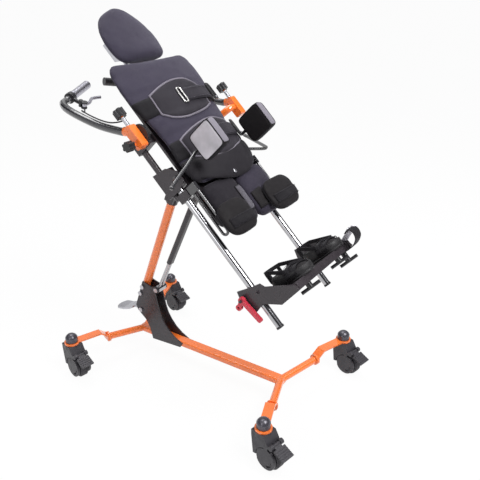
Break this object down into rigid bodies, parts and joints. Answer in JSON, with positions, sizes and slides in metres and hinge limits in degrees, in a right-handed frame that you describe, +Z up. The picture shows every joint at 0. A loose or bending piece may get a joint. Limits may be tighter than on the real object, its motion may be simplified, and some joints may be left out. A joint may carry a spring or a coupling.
{
  "type": "standing frame",
  "caption": "Tilting child standing frame: a wheeled base with braked casters carries a padded backboard with belts, side supports, push handles and a sliding sandal support.",
  "frame": {"origin": "on the floor, midway between the four caster swivel axes", "axes": "+Z up, +X to the user's left, -Y to the foot end"},
  "size_m": [0.5847, 0.9012, 1.1459],
  "materials": {
    "orange_paint": "satin powder coat",
    "black_paint": "satin black powder coat",
    "chrome_steel": "polished",
    "bare_metal": "brushed",
    "caster_plastic": "satin moulded",
    "wheel_rubber": "matt",
    "pad_fabric": "stretch knit",
    "strap_cloth": "woven and loop pile",
    "pad_skin": "smooth coated",
    "black_plastic": "satin moulded",
    "grip_silver": "silver grey, matt",
    "red_plastic": "gloss moulded"
  },
  "bodies": {
    "base": {"base_frame": "orange_paint", "caster_caps": "caster_plastic", "tower_plates": "black_paint", "pivot_pins": "bare_metal", "mast": "orange_paint", "mast_head": "black_paint", "strut_rods": "chrome_steel"},
    "strut": {"strut_sleeve": "black_paint"},
    "pedal": {"foot_pedal": "bare_metal"},
    "board": {"cradle": "black_paint", "side_rails": "chrome_steel", "rail_caps": "black_plastic", "frame_clamps": "black_paint", "pad_panel": "black_plastic", "back_pad": "pad_fabric", "leg_pads": "pad_fabric", "leg_hairpins": "black_paint", "chest_belt": "strap_cloth", "hip_belts": "strap_cloth", "knee_cups": "strap_cloth", "handle_crossbar": "orange_paint", "toothed_discs": "black_plastic"},
    "front_right_caster_body": {"front_right_caster": "caster_plastic"},
    "front_right_wheel_body": {"front_right_wheel": "wheel_rubber"},
    "front_right_brake_body": {"front_right_brake": "caster_plastic"},
    "front_left_caster_body": {"front_left_caster": "caster_plastic"},
    "front_left_wheel_body": {"front_left_wheel": "wheel_rubber"},
    "front_left_brake_body": {"front_left_brake": "caster_plastic"},
    "rear_right_caster_body": {"rear_right_caster": "caster_plastic"},
    "rear_right_wheel_body": {"rear_right_wheel": "wheel_rubber"},
    "rear_right_brake_body": {"rear_right_brake": "caster_plastic"},
    "rear_left_caster_body": {"rear_left_caster": "caster_plastic"},
    "rear_left_wheel_body": {"rear_left_wheel": "wheel_rubber"},
    "rear_left_brake_body": {"rear_left_brake": "caster_plastic"},
    "head": {"head_post": "chrome_steel", "headrest": "pad_fabric"},
    "right_handle": {"right_block": "orange_paint", "right_handlebar": "black_paint", "right_grip": "grip_silver", "brake_perch": "black_paint", "brake_cable": "black_plastic"},
    "right_knob": {"right_star_knob": "black_plastic"},
    "left_handle": {"left_block": "orange_paint", "left_handlebar": "black_paint", "left_grip": "grip_silver"},
    "left_knob": {"left_star_knob": "black_plastic"},
    "side_knob_body": {"side_knob": "black_plastic"},
    "lever": {"brake_lever": "bare_metal"},
    "right_side": {"right_lateral": "black_paint", "right_lateral_pad": "pad_skin"},
    "left_side": {"left_lateral": "black_paint", "left_lateral_pad": "pad_skin"},
    "foot": {"foot_carriage": "black_paint", "toe_loop": "strap_cloth"},
    "red_lever": {"clamp_lever": "red_plastic"},
    "right_shoe": {"right_sandal": "strap_cloth"},
    "right_t_knob": {"right_foot_knob": "black_plastic"},
    "left_shoe": {"left_sandal": "strap_cloth"},
    "left_t_knob": {"left_foot_knob": "black_plastic"},
    "toe_t_knob": {"toe_knob": "black_plastic"}
  },
  "joints": [
    {"name": "tilt", "type": "hinge", "parent": "base", "child": "board", "pos_m": [0, 0.06193, 0.67609], "axis": [1, 0, 0], "range_deg": [-45, 40]},
    {"name": "strut_slide", "type": "slide", "parent": "base", "child": "strut", "axis": [0, -0.4205, 0.9073], "range_m": [-0.035, 0.0385]},
    {"name": "pedal_press", "type": "hinge", "parent": "base", "child": "pedal", "pos_m": [0, 0.27606, 0.15606], "axis": [1, 0, 0], "range_deg": [-15, 0], "stiffness_Nm_per_rad": 6, "springref_deg": 8.59},
    {"name": "front_right_swivel", "type": "hinge", "parent": "base", "child": "front_right_caster_body", "pos_m": [-0.258, -0.375, 0.115], "axis": [0, 0, 1], "continuous": true},
    {"name": "front_right_roll", "type": "hinge", "parent": "front_right_caster_body", "child": "front_right_wheel_body", "pos_m": [-0.26424, -0.40434, 0.04], "axis": [0.9781, -0.2079, 0], "continuous": true},
    {"name": "front_right_brake_press", "type": "hinge", "parent": "front_right_caster_body", "child": "front_right_brake_body", "pos_m": [-0.26772, -0.42074, 0.08604], "axis": [0.9781, -0.2079, 0], "range_deg": [0, 12]},
    {"name": "front_left_swivel", "type": "hinge", "parent": "base", "child": "front_left_caster_body", "pos_m": [0.258, -0.375, 0.115], "axis": [0, 0, 1], "continuous": true},
    {"name": "front_left_roll", "type": "hinge", "parent": "front_left_caster_body", "child": "front_left_wheel_body", "pos_m": [0.25176, -0.40434, 0.04], "axis": [0.9781, -0.2079, 0], "continuous": true},
    {"name": "front_left_brake_press", "type": "hinge", "parent": "front_left_caster_body", "child": "front_left_brake_body", "pos_m": [0.24828, -0.42074, 0.08604], "axis": [0.9781, -0.2079, 0], "range_deg": [0, 12]},
    {"name": "rear_right_swivel", "type": "hinge", "parent": "base", "child": "rear_right_caster_body", "pos_m": [-0.258, 0.375, 0.115], "axis": [0, 0, 1], "continuous": true},
    {"name": "rear_right_roll", "type": "hinge", "parent": "rear_right_caster_body", "child": "rear_right_wheel_body", "pos_m": [-0.26424, 0.34566, 0.04], "axis": [0.9781, -0.2079, 0], "continuous": true},
    {"name": "rear_right_brake_press", "type": "hinge", "parent": "rear_right_caster_body", "child": "rear_right_brake_body", "pos_m": [-0.26772, 0.32926, 0.08604], "axis": [0.9781, -0.2079, 0], "range_deg": [0, 12]},
    {"name": "rear_left_swivel", "type": "hinge", "parent": "base", "child": "rear_left_caster_body", "pos_m": [0.258, 0.375, 0.115], "axis": [0, 0, 1], "continuous": true},
    {"name": "rear_left_roll", "type": "hinge", "parent": "rear_left_caster_body", "child": "rear_left_wheel_body", "pos_m": [0.25176, 0.34566, 0.04], "axis": [0.9781, -0.2079, 0], "continuous": true},
    {"name": "rear_left_brake_press", "type": "hinge", "parent": "rear_left_caster_body", "child": "rear_left_brake_body", "pos_m": [0.24828, 0.32926, 0.08604], "axis": [0.9781, -0.2079, 0], "range_deg": [0, 12]},
    {"name": "head_slide", "type": "slide", "parent": "board", "child": "head", "axis": [0, 0.7071, 0.7071], "range_m": [0, 0.06]},
    {"name": "right_handle_turn", "type": "hinge", "parent": "board", "child": "right_handle", "pos_m": [-0.232, 0.04236, 0.85319], "axis": [1, 0, 0], "range_deg": [-40, 15]},
    {"name": "right_knob_turn", "type": "hinge", "parent": "right_handle", "child": "right_knob", "pos_m": [-0.232, 0.09327, 0.90693], "axis": [0, 0.7071, 0.7071], "continuous": true},
    {"name": "left_handle_turn", "type": "hinge", "parent": "board", "child": "left_handle", "pos_m": [0.232, 0.04236, 0.85319], "axis": [1, 0, 0], "range_deg": [-40, 15]},
    {"name": "left_knob_turn", "type": "hinge", "parent": "left_handle", "child": "left_knob", "pos_m": [0.232, 0.09327, 0.90693], "axis": [0, 0.7071, 0.7071], "continuous": true},
    {"name": "side_knob_turn", "type": "hinge", "parent": "right_handle", "child": "side_knob_body", "pos_m": [-0.27, 0.03387, 0.83764], "axis": [1, 0, 0], "continuous": true},
    {"name": "brake_pull", "type": "hinge", "parent": "right_handle", "child": "lever", "pos_m": [-0.13978, 0.32546, 0.88953], "axis": [-0.0539, -0.2974, 0.9532], "range_deg": [0, 18], "stiffness_Nm_per_rad": 1, "springref_deg": -5.73},
    {"name": "right_side_turn", "type": "hinge", "parent": "board", "child": "right_side", "pos_m": [-0.17, -0.03542, 0.73864], "axis": [1, 0, 0], "range_deg": [-15, 15]},
    {"name": "left_side_turn", "type": "hinge", "parent": "board", "child": "left_side", "pos_m": [0.17, -0.03542, 0.73864], "axis": [1, 0, 0], "range_deg": [-15, 15]},
    {"name": "foot_slide", "type": "slide", "parent": "board", "child": "foot", "axis": [0, 0.7071, 0.7071], "range_m": [-0.04, 0.11]},
    {"name": "clamp_turn", "type": "hinge", "parent": "foot", "child": "red_lever", "pos_m": [-0.175, -0.25038, 0.43176], "axis": [1, 0, 0], "range_deg": [0, 90]},
    {"name": "right_shoe_turn", "type": "hinge", "parent": "foot", "child": "right_shoe", "pos_m": [-0.09, -0.38898, 0.50671], "axis": [0, 0.7071, 0.7071], "range_deg": [-15, 15]},
    {"name": "right_t_knob_turn", "type": "hinge", "parent": "foot", "child": "right_t_knob", "pos_m": [-0.09, -0.41019, 0.4855], "axis": [0, 0.7071, 0.7071], "continuous": true},
    {"name": "left_shoe_turn", "type": "hinge", "parent": "foot", "child": "left_shoe", "pos_m": [0.09, -0.38898, 0.50671], "axis": [0, 0.7071, 0.7071], "range_deg": [-15, 15]},
    {"name": "left_t_knob_turn", "type": "hinge", "parent": "foot", "child": "left_t_knob", "pos_m": [0.09, -0.41019, 0.4855], "axis": [0, 0.7071, 0.7071], "continuous": true},
    {"name": "toe_t_knob_turn", "type": "hinge", "parent": "foot", "child": "toe_t_knob", "pos_m": [0.132, -0.41726, 0.47843], "axis": [0, 0.7071, 0.7071], "continuous": true}
  ],
  "couplings": [
    {"joint": "strut_slide", "follows": "tilt", "m_per_rad": -0.0478}
  ]
}
